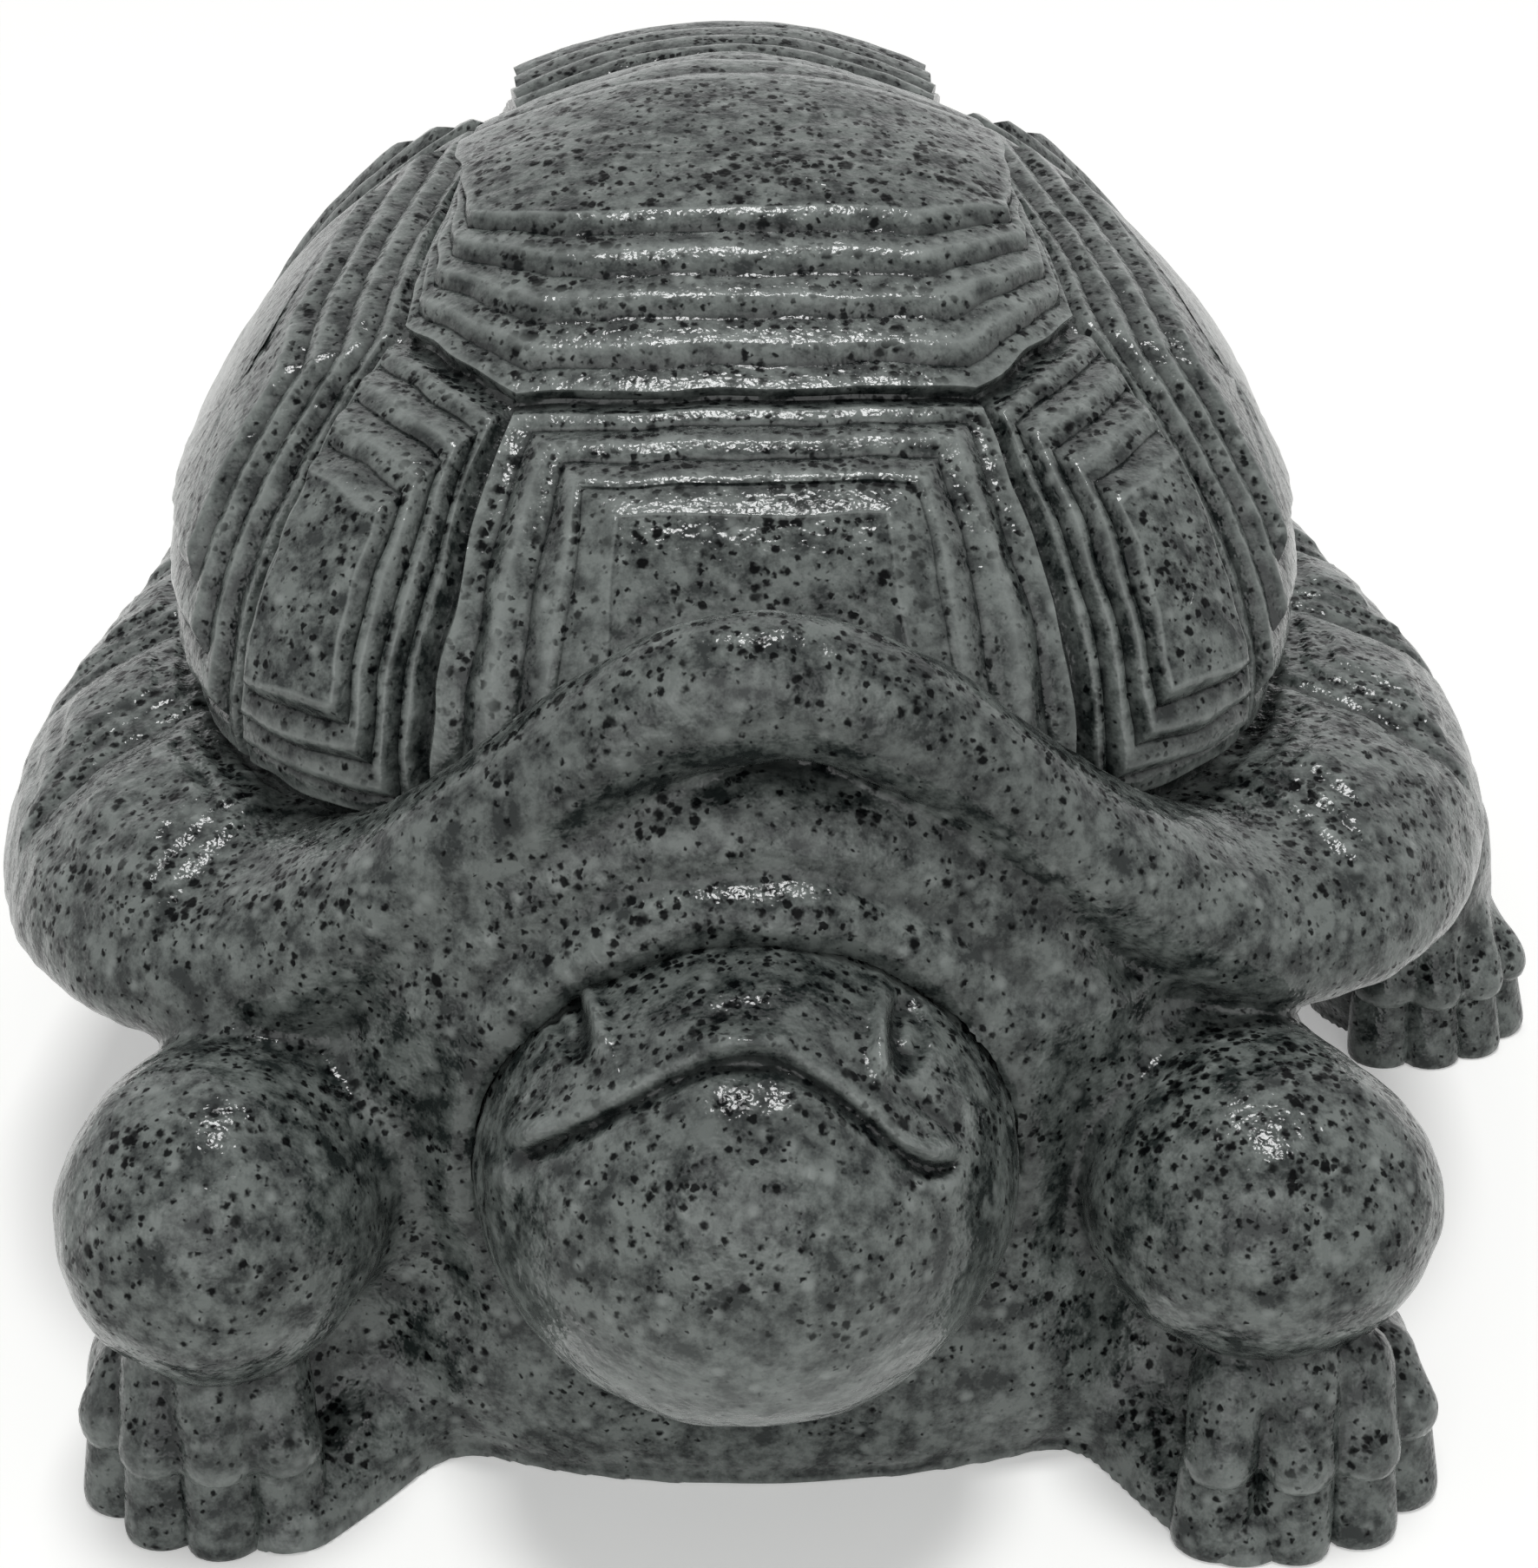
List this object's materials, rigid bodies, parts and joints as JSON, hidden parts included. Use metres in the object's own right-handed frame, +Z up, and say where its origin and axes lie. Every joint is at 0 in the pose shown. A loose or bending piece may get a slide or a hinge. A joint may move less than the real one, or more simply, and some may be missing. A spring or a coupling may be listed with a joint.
{
  "type": "tortoise figurine",
  "caption": "Free-standing tortoise ornament in speckled cast stone, with a domed carapace of stepped scutes, a flared shell rim, a blunt head and stout legs on a flat underside.",
  "frame": {"origin": "on the flat underside, midway between the two sides, a little ahead of the shell's middle", "axes": "+Z up, -Y the way the head faces, +X the tortoise's left"},
  "size_m": [0.1183, 0.1627, 0.0768],
  "materials": {
    "cast_stone": "gloss",
    "dowel_steel": "satin"
  },
  "bodies": {
    "root": {"carapace": "cast_stone", "shell_rim": "cast_stone", "body": "cast_stone", "head": "cast_stone", "front_left_leg": "cast_stone", "front_right_leg": "cast_stone", "rear_left_leg": "cast_stone", "rear_right_leg": "cast_stone", "tail": "cast_stone", "carapace_dowels": "dowel_steel", "rim_dowels": "dowel_steel", "leg_dowels": "dowel_steel", "head_dowel": "dowel_steel", "tail_dowel": "dowel_steel"}
  },
  "joints": []
}
